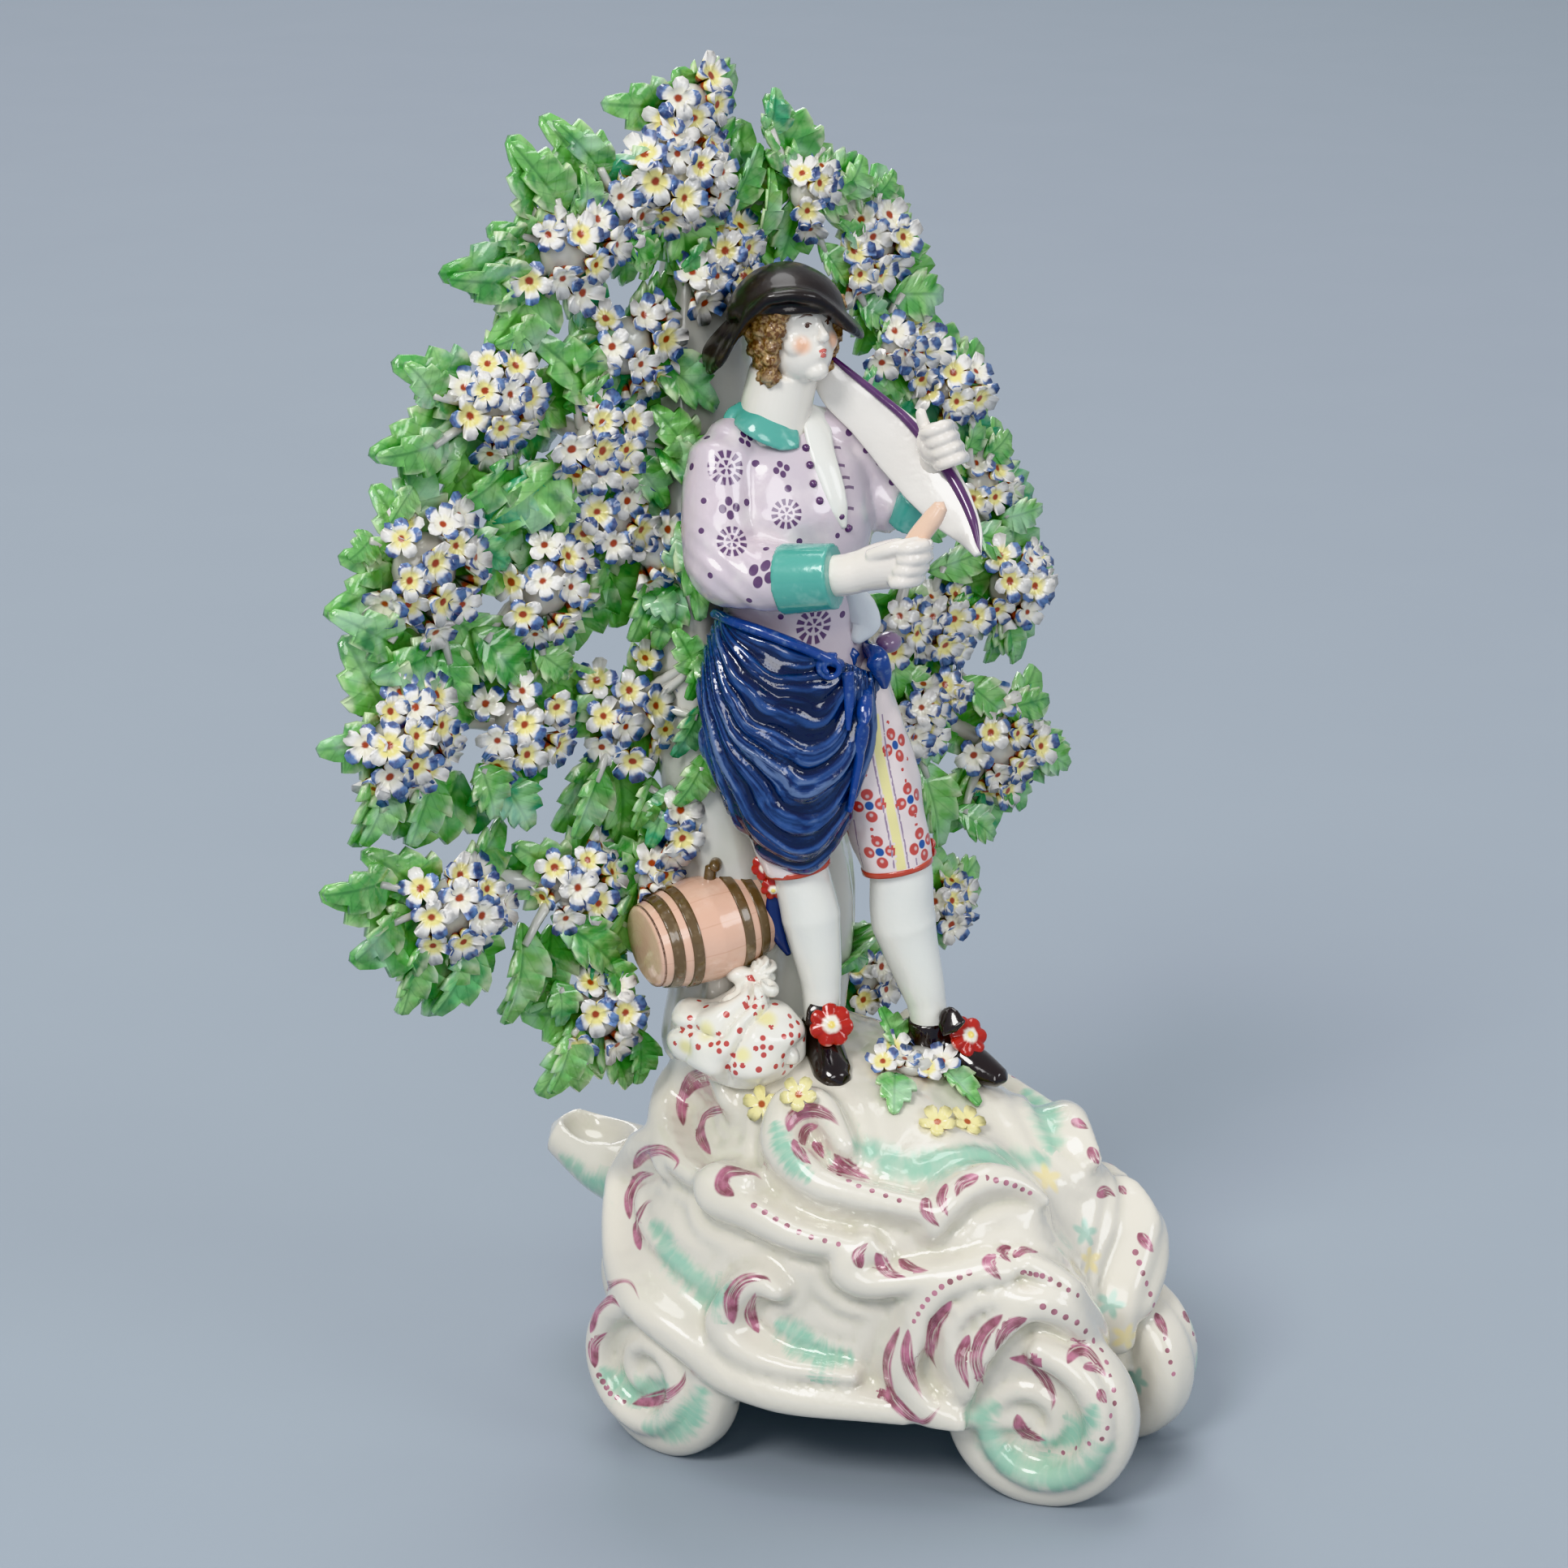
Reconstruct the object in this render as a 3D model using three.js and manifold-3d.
// A porcelain bocage figure: a countryman whetting a scythe blade before a flowering bush, on a scroll base.
// It is one fired piece, so every form below is joined into a single solid. Millimetres, +Z up, front at -Y.
import * as THREE from "three";
import { SimplifyModifier } from "three/addons/modifiers/SimplifyModifier.js";
import { mergeVertices } from "three/addons/utils/BufferGeometryUtils.js";
import Module from "manifold-3d";

const wasm = await Module();
wasm.setup();

// Base: a hollow mound on scroll feet
const PLATEAU = 76; // height of the ground under the figure's feet
const GROUND = -4; // level of the table under the feet
const RIM_HEIGHT = 14; // height of the arches between the feet
const WALL = 5; // thickness of the cast wall
const ROOF = 58; // height of the hollow under the mound
const BASE_TURN = THREE.MathUtils.degToRad(8);
const BASE_LENGTH = 152; // from the front foot to the end of the lip behind
const RIDGE = 2.6; // half width of a full moulded scroll
const RIGHT_FOOT_RADIUS = 17.5; // the front foot on the right is pressed smaller
const FRONT_FOOT = { radius: 20.4, thickness: 14, place: [-19, -64.4], turn: 190 };
const SIDE_FOOT = { radius: 19.5, thickness: 13, place: [-39.5, 16.5], turn: 168 };
const REAR_FOOT = { radius: 19, thickness: 14, place: [0, 37], turn: 180 };
const SOLE_DEPTH = 1.8; // how much of a round foot is ground off flat
const LUG = { length: 25, width: 15, height: 45, thickness: 10 };

// Tree stump and the flowering bush that grows from it
const TRUNK_PLACE = [-0.5, 32.2];
const TRUNK_TOP = 268;
const BUSH_WIDTH = 198; // from leaf tip to leaf tip
const STUMP_WIDTH = 21; // half width behind the figure's legs
const BOCAGE_TURN = THREE.MathUtils.degToRad(-12);
const BOCAGE_FRONT = -8; // the sprays stand this far before the trunk's axis
const BRANCH = 2.3;
const LEAF_LENGTH = 19;
const LEAF_WIDTH = 14;
const BUSH_MIDDLE = 180; // height about which the sprays fan out
const WHORL = 5; // leaves in the ring behind each spray
const LEAF_THICKNESS = 1.5;

// The figure, from the ground to the top of the hat
const FIGURE_HEIGHT = 168;
const BLADE_THICKNESS = 1.8;

// The small keg and the tied kerchief beside the figure
const KEG = { length: 27, radius: 11.2, end: 8.6 };
const BUNDLE = 12;

// Working values
const TURN = Math.PI * 2;
const FACETS = 9900; // triangles kept in the finished solid
const CORNER_GAP = 0.05;
const BED = { side: 400, depth: 40 }; // ground away below the feet
const FIGURE = FIGURE_HEIGHT / 168;
const SPREAD = BUSH_WIDTH / 198;
const STRETCH = BASE_LENGTH / 152;

const vec = (p) => (p.isVector3 ? p.clone() : new THREE.Vector3(...p));
const mix = THREE.MathUtils.lerp;

// A value read from an evenly spaced list at a share of its length.
function along(list, share) {
  const place = THREE.MathUtils.clamp(share, 0, 1) * (list.length - 1);
  const i = Math.min(Math.floor(place), list.length - 2);
  return mix(list[i], list[i + 1], place - i);
}

// A closed three.js geometry as a solid, whichever way its faces wind.
function solidOf(geometry) {
  geometry.deleteAttribute("normal");
  geometry.deleteAttribute("uv");
  const merged = mergeVertices(geometry, 1e-4);
  const index = merged.index.array;
  const corners = merged.attributes.position;
  const triangles = [];
  let volume = 0;
  const [a, b, c] = [new THREE.Vector3(), new THREE.Vector3(), new THREE.Vector3()];
  for (let i = 0; i < index.length; i += 3) {
    const [p, q, r] = [index[i], index[i + 1], index[i + 2]];
    if (p === q || q === r || r === p) continue;
    triangles.push(p, q, r);
    a.fromBufferAttribute(corners, p);
    b.fromBufferAttribute(corners, q);
    c.fromBufferAttribute(corners, r);
    volume += a.dot(b.cross(c));
  }
  if (volume < 0) triangles.reverse();
  const mesh = new wasm.Mesh({
    numProp: 3,
    vertProperties: new Float32Array(corners.array),
    triVerts: new Uint32Array(triangles),
  });
  return new wasm.Manifold(mesh);
}

// Every vertex of a geometry moved by a function of its place.
function reshape(geometry, move) {
  const corners = geometry.attributes.position;
  const p = new THREE.Vector3();
  for (let i = 0; i < corners.count; i++) {
    p.fromBufferAttribute(corners, i);
    const q = move(p);
    corners.setXYZ(i, q.x, q.y, q.z);
  }
  return geometry;
}

// A round or oval form swept through points. Each radius is a number, or a pair [across, towards facing].
function sweep(points, radii, { sides = 8, steps = 8, facing = [0, 0, 1], ripple = () => 1 } = {}) {
  const curve = new THREE.CatmullRomCurve3(points.map(vec), false, "catmullrom", 0.5);
  const across = radii.map((r) => (Array.isArray(r) ? r[0] : r));
  const deep = radii.map((r) => (Array.isArray(r) ? r[1] : r));
  const rings = [];
  for (let i = 0; i <= steps; i++) {
    const tangent = curve.getTangent(i / steps);
    const look = vec(typeof facing === "function" ? facing(curve.getPoint(i / steps)) : facing).normalize();
    const front = look.clone().addScaledVector(tangent, -look.dot(tangent)).normalize();
    const side = new THREE.Vector3().crossVectors(tangent, front);
    rings.push({ centre: curve.getPoint(i / steps), front, side });
  }
  const rod = new THREE.CylinderGeometry(1, 1, 1, sides, steps);
  return reshape(rod, (p) => {
    const share = 0.5 - p.y;
    const ring = rings[Math.round(share * steps)];
    const size = Math.hypot(p.x, p.z) < 0.5 ? 0 : ripple(share, Math.atan2(p.x, p.z));
    return ring.centre
      .clone()
      .addScaledVector(ring.side, p.x * size * along(across, share))
      .addScaledVector(ring.front, p.z * size * along(deep, share));
  });
}

// An oval lump: half sizes along its own axes, then turned about Z and tipped about X.
function lump(centre, [rx, ry, rz], { around = 8, levels = 5, turn = 0, tip = 0 } = {}) {
  return new THREE.SphereGeometry(1, around, levels)
    .rotateX(Math.PI / 2)
    .scale(rx, ry, rz)
    .rotateX(tip)
    .rotateZ(turn)
    .translate(...vec(centre).toArray());
}

const pieces = [];
function keep(...geometries) {
  geometries.forEach((geometry) => pieces.push(solidOf(geometry)));
}

// The mound's outline at each height: radii from its axis towards twelve directions, the left half given.
const DIRECTIONS = [90, 120, 147, 180, 210, 248, 270];
const MOUND = [
  { z: RIM_HEIGHT, axis: -10, reach: [52, 51, 52, 43, 42, 60, 58] },
  { z: 30, axis: -10, reach: [52, 52, 52, 43, 43, 62, 58] },
  { z: 45, axis: -10, reach: [52, 52, 48, 42, 42, 60, 54] },
  { z: 58, axis: -10, reach: [50, 44, 40, 38, 39, 52, 47] },
  { z: 68, axis: -8, reach: [48, 34, 31, 31, 33, 40, 36] },
  { z: PLATEAU - 1, axis: -2, reach: [42, 30, 27, 25, 25, 28, 25] },
  { z: PLATEAU + 4, axis: 6, reach: [32, 20, 16, 14, 13, 13, 13] },
  { z: PLATEAU + 6, axis: 12, reach: [20, 8, 6, 5, 5, 5, 5] },
];
const HEIGHTS = MOUND.map((level) => level.z);

// A point of the mound's face: station 0 at the back, 3 left, 6 front, 9 right; pressed in by a wall.
function moundPoint(station, z, wall = 0) {
  const height = THREE.MathUtils.clamp(z, HEIGHTS[0], HEIGHTS[HEIGHTS.length - 1]);
  const i = Math.min(HEIGHTS.findLastIndex((h) => h <= height), MOUND.length - 2);
  const [low, high] = [MOUND[i], MOUND[i + 1]];
  const share = (height - low.z) / (high.z - low.z);
  const axis = mix(low.axis, high.axis, share);
  const corner = (s) => {
    const k = ((s % 12) + 12) % 12;
    const left = k <= 6;
    const d = left ? k : 12 - k;
    const angle = THREE.MathUtils.degToRad(left ? DIRECTIONS[d] : 180 - DIRECTIONS[d]);
    const reach = mix(low.reach[d], high.reach[d], share) - wall;
    return new THREE.Vector3(reach * Math.cos(angle), axis + reach * Math.sin(angle), z);
  };
  const s = Math.floor(station);
  const four = [corner(s - 1), corner(s), corner(s + 1), corner(s + 2)];
  const t = station - s;
  const weights = [
    (-t + 2 * t * t - t ** 3) / 2,
    (2 - 5 * t * t + 3 * t ** 3) / 2,
    (t + 4 * t * t - 3 * t ** 3) / 2,
    (-t * t + t ** 3) / 2,
  ];
  return four.reduce((sum, p, k) => sum.addScaledVector(p, weights[k]), new THREE.Vector3());
}

// The mound between listed heights, or its hollow where a wall is given at each height.
function mound(levels, sides) {
  const rod = new THREE.CylinderGeometry(1, 1, 1, sides, levels.length - 1);
  return reshape(rod, (p) => {
    const { z, wall = 0, inside = z } = levels[Math.round((0.5 - p.y) * (levels.length - 1))];
    const station = (Math.atan2(p.x, p.z) / TURN) * 12;
    const face = moundPoint(station, inside, wall);
    if (Math.hypot(p.x, p.z) < 0.5) face.set(0, moundPoint(3, inside).y, 0);
    return face.setZ(z);
  });
}

// The way the mound faces at a place on it: out from its middle, and upwards near the top.
const moundOutward = (p) => new THREE.Vector3(p.x, p.y - MOUND[0].axis, Math.max(p.z - 40, 0) * 1.2);

const onBase = (geometry) => geometry.scale(1, STRETCH, 1).rotateZ(BASE_TURN);

// A moulded scroll laid along the mound through [station, height] points, and its mirror on the right.
function scroll(route, radii, steps) {
  for (const side of [1, -1]) {
    const path = route.map(([station, z]) => moundPoint(side * station, z));
    keep(onBase(sweep(path, radii.map((r) => r * RIDGE), { sides: 5, steps, facing: moundOutward })));
  }
}

// A foot: a thick disc that stands on its edge, with a spiral scroll raised on its outer face.
function volute({ radius, thickness, place, turn }, mirrored) {
  const side = mirrored ? -1 : 1;
  const angle = THREE.MathUtils.degToRad(turn);
  const out = new THREE.Vector3(side * Math.cos(angle), Math.sin(angle), 0);
  const level = new THREE.Vector3(-out.y, out.x, 0).multiplyScalar(-side);
  const centre = new THREE.Vector3(side * place[0], place[1], GROUND + radius - SOLE_DEPTH);
  const face = (r, a, depth) =>
    centre
      .clone()
      .addScaledVector(level, r * Math.cos(a))
      .addScaledVector(out, depth)
      .setZ(centre.z + r * Math.sin(a));
  const disc = new THREE.CylinderGeometry(1, 1, 1, 14, 3);
  reshape(disc, (p) => {
    const r = Math.hypot(p.x, p.z);
    const bevel = Math.abs(p.y) > 0.4 ? 0.86 : 1;
    return face(r * radius * bevel, Math.atan2(p.z, p.x), p.y * thickness * (r < 0.5 ? 0.7 : 1));
  });
  keep(onBase(disc));
  const turns = 1.35;
  const curl = [];
  for (let i = 0; i <= 9; i++) {
    const share = i / 9;
    curl.push(face(mix(radius * 0.86, radius * 0.24, share), 2.3 - share * turns * TURN, thickness * 0.44));
  }
  keep(onBase(sweep(curl, [1, 1.1, 1, 0.8, 0.9].map((r) => r * RIDGE), { sides: 5, steps: 14,
    facing: out })));
}

function base() {
  const heights = [82, 80, 76.5, 72, 67, 58, 45, 30, RIM_HEIGHT].map((z) => ({ z }));
  keep(onBase(mound(heights, 26)));
  volute(FRONT_FOOT, false);
  volute({ ...FRONT_FOOT, radius: RIGHT_FOOT_RADIUS }, true);
  volute(SIDE_FOOT, false);
  volute(SIDE_FOOT, true);
  volute(REAR_FOOT, false);
  // Left border of the plateau, the long ledges below it, the great side scroll and the small ones
  scroll([[2, 73], [1.9, 76], [1.2, 74], [0.7, 67], [0.9, 61], [1.6, 58], [2.2, 57]], [0.6, 1.1, 1.2, 1,
    0.6], 7);
  scroll([[2.7, 60], [2.3, 57.5], [2.7, 54.5], [3.3, 52], [4, 50]], [0.7, 1.1, 1, 0.9, 0.5], 6);
  scroll([[3.8, 70], [3.7, 74], [3.1, 71], [3.1, 66], [3.6, 62], [4.4, 59]], [0.7, 1.2, 1.2, 1, 0.7], 7);
  scroll([[4.45, 57], [4.6, 62], [5, 64], [5.4, 60]], [0.8, 1.2, 1, 0.5], 5);
  scroll([[4, 51], [3.9, 46], [4.2, 45], [4.7, 51]], [0.6, 1, 1, 0.8], 5);
  scroll([[1.6, 56], [1.2, 58], [0.8, 50], [1.2, 37], [2, 30], [2.8, 19], [3.4, 16], [4.2, 15]],
    [0.7, 1.3, 1.2, 1.2, 1.3, 1.2, 1], 12);
  scroll([[3.1, 41], [2.8, 38], [2.75, 30], [3, 24], [3.9, 22]], [0.6, 1.1, 1.1, 1, 0.7], 6);
  scroll([[4.75, 49], [4.4, 45], [4.2, 36], [4.2, 24], [4.4, 15]], [0.9, 1, 1, 1.1, 1.4], 7);
  scroll([[4.9, 49], [5.3, 44], [5.7, 34], [5.75, 22]], [0.7, 1, 1, 0.6], 5);
  // A trail of small blossoms down the middle of the front
  [60, 50, 41, 32, 23].forEach((z, i) => {
    keep(onBase(lump(moundPoint(5.95 + 0.05 * i, z), [3.2, 2.4, 3], { around: 5, levels: 3 })));
  });
  rearLug();
}

// A lip that stands out behind, hollowed on top.
function rearLug() {
  const { length, width, height, thickness } = LUG;
  const end = 40 + length;
  const path = [[0, 30, height - 9], [-1, 40 + length / 2, height - 5], [-3, end, height]];
  const girth = [[width, thickness], [width * 0.75, thickness * 0.8], [width * 0.5, 5]];
  const lip = solidOf(onBase(sweep(path, girth, { sides: 10, steps: 4 })));
  const dish = solidOf(onBase(lump([-2.5, end - 9, height + 5], [width * 0.42, 9, 6.5], { around: 8,
    levels: 5 })));
  pieces.push(lip.subtract(dish));
}

// The stump and trunk lean up behind the figure.
function trunk() {
  const [x, y] = TRUNK_PLACE;
  const path = [[x + 4, y - 10, PLATEAU - 12], [x + 6, y - 13, 105], [x + 1, y - 8, 145], [x - 2, y - 4,
    195], [x, y, 235],
    [x - 2, y, TRUNK_TOP]];
  const radii = [[STUMP_WIDTH + 7, 15], [STUMP_WIDTH + 4, 14], [STUMP_WIDTH, 11], [17, 8.5], [11, 7], [3,
    3]];
  const bark = (t, a) => 1 + 0.06 * Math.sin(5 * a);
  keep(sweep(path, radii, { sides: 10, steps: 8, facing: [0, -1, 0], ripple: bark }));
}

// Sprays of the bush: place across and up, size, and the directions and reach of the leaves about each.
const SPRAYS = [
  [-9, 274, 8, [[101, 8], [20, 9]]],
  [-12, 261, 11, [[-81, 22], [-29, 19], [200, 16]]],
  [-25, 255, 8, [[129, 25], [160, 13]]],
  [-41, 249, 10, [[117, 26], [162, 18], [184, 27], [225, 24], [-71, 33]]],
  [-25, 228, 10, [[-95, 15], [30, 15]]],
  [-57, 221, 11, [[154, 23], [195, 29], [-8, 23], [244, 24]]],
  [-34, 210, 9, [[205, 29], [-60, 16]]],
  [-27, 193, 9, [[-113, 29], [-5, 14], [-89, 24]]],
  [-76, 191, 12, [[117, 19], [165, 18], [196, 22], [236, 23], [-79, 33], [-52, 34]]],
  [-47, 182, 10, [[145, 25], [-89, 20]]],
  [-24, 151, 11, [[173, 19], [-127, 29], [-94, 30]]],
  [-83, 158, 12, [[-113, 24], [178, 18]]],
  [-53, 154, 10, [[-142, 33], [-117, 24]]],
  [-10, 124, 7, [[162, 12]]],
  [-72, 120, 11, [[163, 30], [-164, 24], [-119, 24], [-99, 24]]],
  [-39, 117, 9, [[-124, 31], [-110, 29], [-69, 27], [141, 17]]],
  [-21, 114, 6, [[-128, 20], [142, 16]]],
  [-34, 87, 8, [[-132, 21], [-66, 20]]],
  [2, 243, 8, [[79, 27], [56, 15]]],
  [20, 254, 7, [[111, 22], [78, 14], [20, 16]]],
  [42, 241, 8, [[79, 16], [3, 12], [-40, 22], [-92, 25]]],
  [51, 215, 6, [[-153, 12]]],
  [61, 207, 8, [[-61, 18], [40, 14]]],
  [73, 184, 7, [[60, 15], [107, 16], [-19, 18], [-61, 17]]],
  [78, 161, 9, [[-77, 19], [10, 15]]],
  [60, 155, 10, [[47, 21], [-120, 18]]],
  [78, 123, 11, [[38, 18], [-14, 24], [-67, 17], [-143, 27], [-97, 20]]],
  [50, 137, 7, [[-50, 16]]],
  [64, 89, 6, [[100, 14]]],
  [39, 78, 7, []],
];

// Small sprays that lie on the stump and the trunk: the heart's place and the size
const SMALL_SPRAYS = [
  [[40.4, 14.3, 219.4], 5],
  [[32, 16.1, 236.6], 5.5],
  [[42.4, 13.9, 156.7], 6.5],
  [[48.2, 12.6, 131.8], 5.5],
  [[-19.3, 22.1, 126.1], 6.5],
  [[5.4, 21.7, 236.5], 6],
];

// Places in the bush's own frame: x across, y from the trunk's axis, z up.
function inBush(x, y, z) {
  return new THREE.Vector3(x * SPREAD, y, 0)
    .applyAxisAngle(new THREE.Vector3(0, 0, 1), BOCAGE_TURN)
    .add(new THREE.Vector3(...TRUNK_PLACE, z));
}

// A serrated leaf: an eight-sided flat lozenge with a raised midrib on both faces.
function leaf(root, tip, lift) {
  const [start, end] = [vec(root), vec(tip)];
  const run = end.clone().sub(start);
  const face = inBush(0, -1, 0).sub(inBush(0, 0, 0));
  const across = new THREE.Vector3().crossVectors(run, face).normalize();
  const out = new THREE.Vector3().crossVectors(across, run).normalize();
  const outline = [[1, 0], [0.66, 0.72], [0.5, 0.6], [0.26, 1], [0, 0.16]];
  return reshape(new THREE.SphereGeometry(1, 8, 2), (p) => {
    if (Math.abs(p.y) > 0.5) {
      return start.clone().addScaledVector(run, 0.4).addScaledVector(out,
        (Math.sign(p.y) * LEAF_THICKNESS) / 2 + lift);
    }
    const step = Math.round((Math.abs(Math.atan2(p.z, p.x)) / Math.PI) * 4);
    const [share, width] = outline[step];
    return start
      .clone()
      .addScaledVector(run, share)
      .addScaledVector(across, (Math.sign(p.z) * (step % 4 ? width : 0) * LEAF_WIDTH) / 2)
      .addScaledVector(out, step % 4 ? -lift : 0);
  });
}

// A spray's head: twelve five-petalled flowers pressed into a ball, each centre sunk among raised petals.
function blossoms(heart, size, number) {
  const centres = new THREE.IcosahedronGeometry(1, 0).attributes.position;
  const directions = [];
  for (let i = 0; i < centres.count; i++) directions.push(new THREE.Vector3().fromBufferAttribute(centres,
    i));
  const spin = new THREE.Quaternion().setFromEuler(new THREE.Euler(number, number * 1.7, number * 0.6));
  keep(reshape(new THREE.IcosahedronGeometry(1, 1), (p) => {
    const sunk = directions.some((d) => d.dot(p) > 0.99);
    const q = p.clone().multiplyScalar(sunk ? 0.84 : 1.14).applyQuaternion(spin);
    const out = inBush(q.x * size, q.y * size * (q.y < 0 ? 0.8 : 0.5), q.z * size);
    return out.sub(inBush(0, 0, 0)).add(heart);
  }));
}

function spray([x, z, size, leaves], number) {
  const depth = BOCAGE_FRONT - 2 * Math.sin(number * 2.4);
  const heart = inBush(x, depth, z);
  blossoms(heart, size, number);
  const blade = (angle, reach, back) => {
    const point = (r, y) => inBush(x + r * Math.cos(angle), depth + y, z + r * Math.sin(angle));
    const start = Math.max(reach - LEAF_LENGTH, size * 0.2);
    keep(leaf(point(start, 1.5), point(reach, back), 0.5));
    if (start > size * 0.5) keep(sweep([heart, point(start + 4, 1.4)], [BRANCH, BRANCH * 0.8], { sides: 4,
      steps: 1 }));
  };
  const outward = Math.atan2(z - BUSH_MIDDLE, x);
  for (let i = 0; i < WHORL; i++) {
    const angle = outward + ((i + 1) / (WHORL + 1)) * TURN;
    blade(angle, size * 1.5 + 7, 3.5);
  }
  leaves.forEach(([degrees, reach], i) => blade(THREE.MathUtils.degToRad(degrees), reach, (number + i) % 3));
}

// Each spray hangs on a branch from the nearest spray that is closer to the trunk, or from the trunk itself.
function branches() {
  const places = SPRAYS.map(([x, z]) => [x, z]);
  places.forEach(([x, z]) => {
    const inward = places.filter(([ox]) => Math.abs(ox) < Math.abs(x) - 4 && ox * x > 0);
    const gap = ([ox, oz]) => Math.hypot(ox - x, oz - z);
    const near = inward.sort((a, b) => gap(a) - gap(b))[0];
    const linked = near && gap(near) < Math.abs(x) && Math.abs(x) > STUMP_WIDTH;
    const root = linked ? [near[0], BOCAGE_FRONT + 2, near[1]] : [0, -3, THREE.MathUtils.clamp(z - 8, 90,
      TRUNK_TOP - 8)];
    const thick = linked ? BRANCH : BRANCH * 1.6;
    keep(sweep([inBush(...root), inBush(x, BOCAGE_FRONT + 2, z)], [thick, BRANCH], { sides: 4, steps: 1 }));
  });
}

// Places on the figure: x, y across the ground and z above it, scaled with the figure.
const on = (x, y, z) => new THREE.Vector3(x, y, 0).multiplyScalar(FIGURE).setZ(PLATEAU + z * FIGURE);
const sized = (radii) => radii.map((r) => (Array.isArray(r) ? r.map((n) => n * FIGURE) : r * FIGURE));
const BODY_FRONT = [-0.43, -0.9, 0];

function limb(points, radii, options = {}) {
  keep(sweep(points.map((p) => on(...p)), sized(radii), options));
}

function bulge(place, sizes, options) {
  keep(lump(on(...place), sized(sizes), options));
}

function legs() {
  // Stockinged legs, then breeches with a hem below each knee
  const front = { sides: 8, facing: [0, -1, 0] };
  limb([[-9.9, -0.5, 49], [-7.9, -2.6, 33], [-6.7, -4.4, 18], [-6.2, -4, 9]], [5.6, 6.2, 4.2, 3.6],
    { ...front, steps: 5 });
  limb([[7.8, -13, 47], [9.4, -13.8, 29], [12, -17.8, 12], [13, -18, 5]], [6.4, 6.6, 4.2, 3.8],
    { ...front, steps: 5 });
  limb([[-12, 4, 70], [-12, 2.5, 58], [-9.9, -0.4, 43.8]], [9, 8.4, 7], { ...front, steps: 3 });
  limb([[2, -1, 80], [5.8, -8.7, 60], [7.9, -13.1, 41.8]], [10, 9.2, 7.4], { ...front, steps: 4 });
  // Shoes with heels, and the ribbon rosettes on them and at the knees
  limb([[-4.6, -0.6, 5], [-7.5, -5.6, 4.5], [-11.8, -11.5, 1.5], [-12.8, -13.6, 1]],
    [[3.6, 4.4], [4.2, 5], [4.2, 3.4], [2.6, 2]], { sides: 7, steps: 4 });
  limb([[13.5, -11.5, 2.5], [14.2, -19, 2], [15.8, -29, -1.5], [16.3, -33.8, -3]],
    [[3.4, 4.4], [4, 5.4], [4.3, 3.6], [2.4, 2]], { sides: 7, steps: 4 });
  limb([[-5, -1.5, 3], [-5, -1.5, -4]], [3, 3.2], { sides: 6, steps: 1, facing: [0, -1, 0] });
  limb([[13.6, -12.5, 1], [13.6, -12.5, -6]], [3, 3.2], { sides: 6, steps: 1, facing: [0, -1, 0] });
  rosette([-9.2, -9, 10.8], [-0.7, -0.62, 0.4], 4.6);
  rosette([15.4, -26, 5], [-0.2, -0.75, 0.6], 4.4);
  rosette([-14.2, 3, 42], [-0.85, -0.5, 0.2], 4.2);
  rosette([15.4, -14.4, 44.5], [0.95, -0.1, 0], 3.2);
}

// A ribbon rosette: a scalloped disc domed towards `out`.
function rosette(place, out, radius) {
  const pose = new THREE.Quaternion().setFromUnitVectors(new THREE.Vector3(0, 1, 0), vec(out).normalize());
  const disc = new THREE.SphereGeometry(radius * FIGURE, 10, 3);
  keep(reshape(disc, (p) => {
    const petal = 1 + 0.12 * Math.cos(5 * Math.atan2(p.z, p.x));
    return new THREE.Vector3(p.x * petal, p.y * 0.42, p.z * petal).applyQuaternion(pose).add(on(...place));
  }));
}

// The jacket's body: centres up its height and half widths [across, front to back]
const TORSO = [[-7, 3.5, 70], [-7, 3.6, 84], [-7, 3.8, 95], [-6.4, 3.4, 106], [-5.4, 3.6, 118],
  [-4.4, 4.4, 128], [-3.8, 5, 134]];
const GIRTH = [[17, 13], [17, 13], [13.6, 10.4], [15, 12], [17, 13], [15.4, 10], [7, 6]];

// A place on the jacket at a height, by degrees round from its front towards the figure's left.
function onCoat(z, degrees, out = 0) {
  const i = Math.min(TORSO.findLastIndex((p) => p[2] <= z), TORSO.length - 2);
  const share = (z - TORSO[i][2]) / (TORSO[i + 1][2] - TORSO[i][2]);
  const [x, y, across, deep] = [0, 1, 0, 1].map((k, n) => mix((n < 2 ? TORSO : GIRTH)[i][k],
    (n < 2 ? TORSO : GIRTH)[i + 1][k], share));
  const angle = THREE.MathUtils.degToRad(degrees);
  const [s, f] = [(across + out) * Math.sin(angle), (deep + out) * Math.cos(angle)];
  return [x - BODY_FRONT[1] * s + BODY_FRONT[0] * f, y + BODY_FRONT[0] * s + BODY_FRONT[1] * f, z];
}

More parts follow.
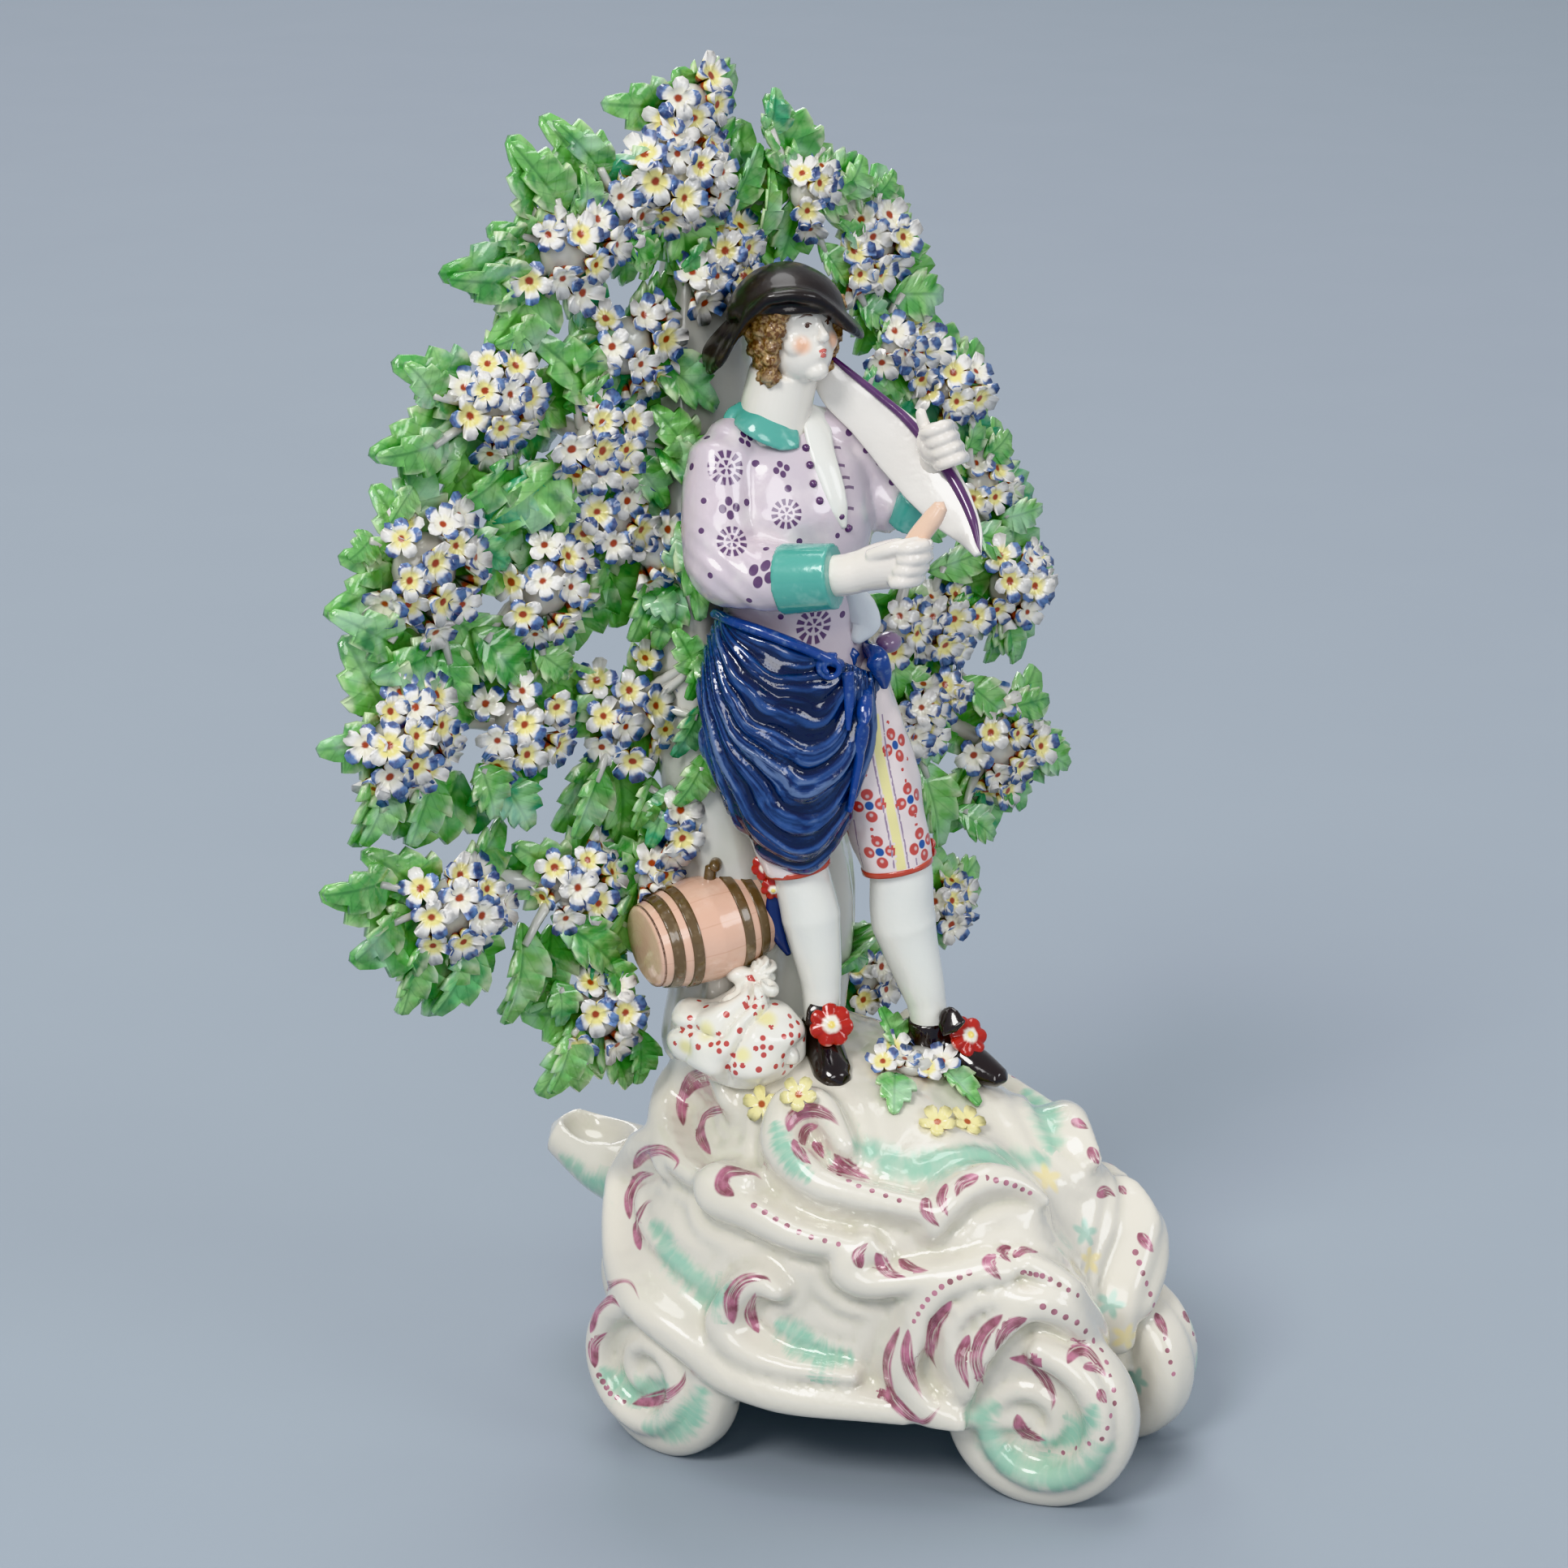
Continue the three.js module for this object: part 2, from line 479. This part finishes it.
function coat() {
  // Body of the jacket from the hips to the neck, and the bare neck
  limb(TORSO, GIRTH, { sides: 14, steps: 9, facing: BODY_FRONT });
  limb([[-6, 7.6, 127], [-7.8, 6.9, 137], [-7.6, 5.4, 147]], [[9.5, 7.5], 7.6, 7.2],
    { sides: 9, steps: 3, facing: BODY_FRONT });
  // Shoulders
  limb([[-17.5, 12.2, 131.3], [-12.5, 11.4, 132.4], [-5.5, 7, 133], [2, 1.5, 132.6], [6.4, -1.7, 131]],
    [5.6, 5.8, 6, 5.6, 5.2], { sides: 8, steps: 6 });
  // Right arm, bent across the body, its deep cuff and the hand
  limb([[-18.5, 12.3, 131.3], [-20.7, 11.1, 124.7], [-23.1, 9.2, 116.3], [-24.5, 6.5, 109.6], [-22.8, -1,
    108.8],
    [-21.1, -7.8, 109.3]], [6.2, 6.8, 6.9, 6.8, 6.6, 6.2], { sides: 8, steps: 8, facing: [-0.8, -0.3,
      -0.5] });
  limb([[-21.2, -6.7, 108.7], [-18, -16.2, 110.3]], [7.2, 6.6], { sides: 10, steps: 1 });
  limb([[-18.6, -14, 110.2], [-17.4, -17.4, 110.5], [-15.8, -21, 111.8], [-14.1, -24.8, 113.2], [-12.2,
    -28.3, 113.7],
    [-10, -31, 113.8]], [4, 4.1, 4.4, 4.9, 5.4, 4], { sides: 8, steps: 6 });
  // Left arm, raised behind the blade, its cuff, and the fist on the blade's back
  limb([[6.4, -1.7, 131], [8.5, -4.3, 125.7], [9.4, -7.4, 118.6], [9.2, -12, 118], [8.2, -17.6, 124.4],
    [6.4, -22.4, 130.4]],
    [5.2, 5.3, 5, 4.4, 3.6, 3.4], { sides: 7, steps: 8 });
  limb([[8.7, -11, 116.4], [8.7, -16, 121.4]], [5.2, 5.2], { sides: 8, steps: 1 });
  bulge([4.8, -24.5, 133.6], [5.2, 4.2, 5.2], { turn: 0.5, tip: 0.4, around: 8, levels: 5 });
  fingers();
  // Turned-down collar round the neck, the frilled shirt in the opening, and the buttons along its edge
  limb(COLLAR, [[2.2, 1.6], [2.6, 1.8], [2.8, 1.8], [2.8, 1.8], [2.4, 1.6]], { sides: 6, steps: 7,
    facing: [-0.5, -0.4, 0.75] });
  limb([onCoat(132.4, 26), onCoat(128, 21), onCoat(122, 17), onCoat(115, 18)], [[3.2, 2], [2.6, 2], [2,
    1.6], [1.2, 1.2]],
    { sides: 6, steps: 4, facing: BODY_FRONT });
  for (let i = 0; i < 5; i++) {
    bulge(onCoat(130 - 3.4 * i, -4 + 3 * i), [1.3, 1.3, 1.3], { around: 5, levels: 3 });
  }
}

const COLLAR = [[-11.4, -3.6, 132.6], [-14, 1.6, 134.6], [-16.6, 7, 136], [-14.6, 13.4, 136.6], [-7.4, 16,
  136.4]];

// Four fingers curled over each grip, and the thumb laid along it
function fingers() {
  for (let i = 0; i < 4; i++) {
    const t = i * 2.4;
    limb([[1.4 + 0.5 * i, -25 - 0.4 * i, 137.4 - t], [5.6 + 0.3 * i, -28.4 - 0.4 * i, 138.6 - t]], [1.4,
      1.5],
      { sides: 5, steps: 1 });
    limb([[-8.6 - 0.5 * i, -31.6 + 0.2 * i, 117.6 - 2.2 * i], [-14.4 - 0.4 * i, -32.2 + 0.4 * i,
      117.4 - 2 * i]], [1.6, 1.4],
      { sides: 5, steps: 1 });
  }
  limb([[1, -21.6, 138], [0.4, -21.4, 141.8]], [1.6, 1.2], { sides: 5, steps: 1 });
  limb([[-17, -26.4, 116.6], [-15, -31, 118.8]], [1.6, 1.4], { sides: 5, steps: 1 });
}

function blade() {
  // A crescent blade behind the neck: flat sections from its heel to the point, thickened along its back
  const back = [[1.2, -0.5, 149], [2.2, -4.5, 146.2], [3.8, -9.8, 142.4], [5.2, -16, 138], [6, -22.5,
    132], [5.8, -28.5, 126],
    [4.4, -33.5, 120], [2.6, -36.6, 114]];
  const edge = [[-0.9, 1.2, 143.5], [0.1, -1.8, 138.6], [2.3, -7.8, 133.3], [3.4, -15.8, 126.5], [3.5,
    -22.3, 120.9],
    [2.8, -27.9, 117.2], [2.6, -33, 115], [2.6, -36, 113.2]];
  const middle = back.map((p, i) => p.map((n, k) => (n + edge[i][k]) / 2));
  const widths = back.map((p, i) => [vec(p).distanceTo(vec(edge[i])) / 2 + 0.4,
    BLADE_THICKNESS / 2 / FIGURE]);
  limb(middle, widths, { sides: 6, steps: 8, facing: [-0.8, -0.62, 0.1] });
  limb(back, [1.1, 1.2, 1.3, 1.3, 1.2, 0.9], { sides: 5, steps: 7 });
  // The whetstone in the right hand
  limb([[-12.4, -28, 112.7], [-10.2, -30.8, 118.7], [-8.3, -33.2, 122.9], [-7.2, -34.6, 125.7]],
    [2.1, 2.2, 2.1, 1.4], { sides: 6, steps: 4 });
}

function apron() {
  // Cloth slung round the hips, drawn up in a knot; its swags hang in U-shaped folds to a low point
  const hang = [[-8, 4, 97], [-8.4, 3.2, 92], [-9.4, 2.2, 82], [-10.4, 1, 70], [-11.6, -1, 58],
    [-12.4, -3.4, 50], [-12.6, -5.6, 44.5]];
  const girth = [[14.6, 11.4], [17, 13.4], [19.4, 15], [18.6, 14], [14.6, 12], [9.6, 9], [3.4, 3.4]];
  const folds = (t, a) => 1 + 0.055 * Math.sin(24 * t + 5 * Math.cos(a))
    * Math.sin(Math.PI * Math.min(1, t * 1.4));
  limb(hang, girth, { sides: 16, steps: 14, facing: BODY_FRONT, ripple: folds });
  limb([[-15, -8.6, 93.6], [-9.6, -12.8, 91.4], [-3.4, -15.2, 93.4]], [1.8, 2.6, 2.2],
    { sides: 6, steps: 4 });
  limb([[-3.4, -15.2, 94], [-1, -16.4, 87], [0, -16, 79.6]], [[2.8, 2.2], [3, 2], [1.2, 1.2]],
    { sides: 6, steps: 3 });
}

function head() {
  // A plain oval head turned a little to the side and tilted up, with a small nose and chin
  const tilt = { turn: -0.25, tip: -0.2 };
  bulge([-6.9, 3.3, 154.4], [8, 8.8, 10.6], { around: 10, levels: 7, ...tilt });
  bulge([-7.7, -2.5, 150.4], [4.4, 4.4, 5], { around: 7, levels: 4, ...tilt });
  limb([[-8.1, -4.5, 157], [-8.5, -7.3, 153.8]], [1, 1.6], { sides: 5, steps: 1 });
  // Curled hair to the neck on both sides
  for (let i = 0; i < 4; i++) {
    const share = i / 3;
    bulge([mix(-13.6, -15, share), mix(1.4, 8.6, share), mix(156.4, 146, share)], [4, 4, 4],
      { around: 6, levels: 4, turn: i });
  }
  bulge([1, 1.4, 154.4], [4, 5, 5], { around: 6, levels: 4 });
  bulge([-6, 10, 149.6], [9, 5.6, 8], { around: 8, levels: 4 });
}

// The hat's rim: degrees round from the face's look towards the figure's left, reach from its middle, height
const HAT_MIDDLE = [-7.6, 4.4];
const HAT_RIM = [[-180, 19, 152], [-150, 17.8, 148.8], [-125, 15.4, 146.4], [-100, 14.4, 150],
  [-75, 13.9, 158], [-55, 13.7, 162.6], [-35, 13.2, 163.8], [-10, 13, 163.4], [10, 13.2, 161.4],
  [30, 14.1, 158], [50, 15.4, 154.8], [75, 17, 153.4], [100, 17.6, 154.6], [130, 18, 155],
  [155, 18.5, 153.8], [180, 19, 152]];
const LOOKS = -102; // degrees round from +X of the way the face looks

// A low round crown; its brim rolls up in front and hangs down at the side and behind.
function hat() {
  const [x, y] = HAT_MIDDLE;
  const brim = new THREE.CylinderGeometry(1, 1, 1, HAT_RIM.length - 1, 2).rotateX(Math.PI / 2);
  keep(reshape(brim, (p) => {
    if (Math.hypot(p.x, p.y) < 0.5) return on(x, y, 160 + p.z * 3);
    const step = Math.round(((Math.atan2(p.y, p.x) / TURN + 0.5) * (HAT_RIM.length - 1)));
    const [degrees, reach, height] = HAT_RIM[step % (HAT_RIM.length - 1)];
    const angle = THREE.MathUtils.degToRad(degrees + LOOKS);
    const r = reach * (Math.abs(p.z) < 0.2 ? 1 : 0.93);
    return on(x + r * Math.cos(angle), y + r * Math.sin(angle), height + p.z * 3.6);
  }));
  bulge([x, y, 158.4], [11.8, 11.8, 10.4], { around: 12, levels: 8 });
}

function keg() {
  // A small keg laid against the stump, bellied between its ends, with hoops and a peg
  const { length, radius, end } = KEG;
  const axis = new THREE.Vector3(27.4, -12.3, 4).normalize();
  const centre = new THREE.Vector3(-19.6, 17, 105);
  const place = (share) => centre.clone().addScaledVector(axis, (share - 0.5) * length);
  const girth = [end, (end + radius) / 2 + 0.6, radius, (end + radius) / 2 + 0.6, end];
  keep(sweep([0, 0.25, 0.5, 0.75, 1].map(place), girth, { sides: 10, steps: 6 }));
  for (const share of [0.16, 0.32, 0.68, 0.84]) {
    const r = along(girth, share) + 0.5;
    keep(sweep([place(share - 0.04), place(share + 0.04)], [r, r], { sides: 10, steps: 1 }));
  }
  keep(sweep([place(0.52), place(0.54).add(new THREE.Vector3(1, -1, radius + 4))], [1.6, 1.3], { sides: 6,
    steps: 1 }));
}

function bundle() {
  // A tied kerchief: a soft round load with folds that run up to its knot
  const bottom = [[-20.6, 4.6, PLATEAU - 4], [-20.6, 4.6, PLATEAU + 4], [-20.2, 4.6, 86], [-19, 4.6, 92],
    [-17.4, 4.8, 95.4], [-16.6, 5, 98.8]];
  const girth = [[7, 6.4], [12.2, 10], [BUNDLE * 1.08, BUNDLE * 0.86], [7.4, 6.6], [2.4, 2.4], [3.6, 3.2]];
  const folds = (t, a) => 1 + 0.07 * Math.sin(6 * a + 4 * t);
  keep(sweep(bottom, girth, { sides: 12, steps: 8, facing: [-0.79, -0.62, 0], ripple: folds }));
}

// Flowers and leaves laid on the ground before the feet
function groundSprays() {
  const place = new THREE.Vector3(-2.3, -26.3, PLATEAU + 2);
  keep(lump(place, [6.4, 5, 3.6], { around: 8, levels: 4 }));
  const ends = [[-7.4, -32.4, PLATEAU - 3], [4, -36, PLATEAU - 5], [-5, -17, PLATEAU + 7]];
  ends.forEach((end) => {
    const run = vec(end).sub(place);
    keep(sweep([place, vec(end)], [[3.6, 1.4], [3.6, 1]], { sides: 6, steps: 1, facing: [0, -0.3, 1] }));
    keep(lump(vec(end).addScaledVector(run, 0.1), [2.6, 2.6, 1.2], { around: 6, levels: 3 }));
  });
  for (const [x, y, z] of [[-24.4, -11, 73], [-20, -15, 74], [-5, -37.6, 69.6], [-1, -40.4, 68.8]]) {
    keep(lump([x, y, z], [3.4, 3.2, 1.6], { around: 7, levels: 3 }));
  }
}

base();
trunk();
SPRAYS.forEach(spray);
SMALL_SPRAYS.forEach(([heart, size], number) => blossoms(vec(heart), size, number));
branches();
legs();
coat();
blade();
apron();
head();
hat();
keg();
bundle();
groundSprays();

// One body, hollowed from below
const hollow = solidOf(onBase(mound([
  { z: ROOF, wall: WALL + 6 },
  { z: ROOF - 5, wall: WALL },
  { z: 40, wall: WALL },
  { z: RIM_HEIGHT, wall: WALL },
  { z: GROUND - 6, inside: RIM_HEIGHT, wall: WALL },
], 24)));
const whole = (solid) => solid.decompose().reduce((a, b) => (a.volume() > b.volume() ? a : b));
const rough = whole(wasm.Manifold.union(pieces).subtract(hollow));

// A solid's surface as a three.js geometry.
function surfaceOf(solid) {
  const { vertProperties, triVerts } = solid.getMesh();
  const surface = new THREE.BufferGeometry();
  surface.setAttribute("position", new THREE.BufferAttribute(vertProperties, 3));
  surface.setIndex(new THREE.BufferAttribute(triVerts, 1));
  return surface;
}

// The surface is thinned to its facets, and only then ground flat on its feet.
const fine = mergeVertices(surfaceOf(rough), 1e-4);
const lean = await new SimplifyModifier().modify(fine, fine.attributes.position.count - FACETS / 2);
const floor = solidOf(new THREE.BoxGeometry(BED.side, BED.side, BED.depth).translate(0, 0,
  GROUND - BED.depth / 2));
const body = whole(solidOf(lean).subtract(floor));

// The origin is on the ground, under the middle of the whole figure.
const box = body.boundingBox();
const shift = [-(box.min[0] + box.max[0]) / 2, -(box.min[1] + box.max[1]) / 2, -box.min[2]];
const shape = surfaceOf(body).translate(...shift);
shape.computeVertexNormals();

// Where two sheets of the surface meet in the same corner, each draws back a little into its own side.
const corners = shape.attributes.position;
const seen = new Map();
for (let i = 0; i < corners.count; i++) {
  const key = [corners.getX(i), corners.getY(i), corners.getZ(i)].map((n) => n.toFixed(3)).join();
  seen.set(key, [...(seen.get(key) ?? []), i]);
}
const normals = shape.attributes.normal;
for (const group of [...seen.values()].filter((sheets) => sheets.length > 1)) {
  group.forEach((i, k) => {
    const p = new THREE.Vector3().fromBufferAttribute(corners, i);
    p.addScaledVector(new THREE.Vector3().fromBufferAttribute(normals, i), -CORNER_GAP * (k + 1));
    corners.setXYZ(i, p.x, p.y, p.z);
  });
}

const porcelain = new THREE.MeshStandardMaterial({ color: 0xeae6da, roughness: 0.16, metalness: 0 });
const figure = new THREE.Mesh(shape, porcelain);
figure.name = "bocage_figure";

const group = new THREE.Group();
group.add(figure);

export default group;
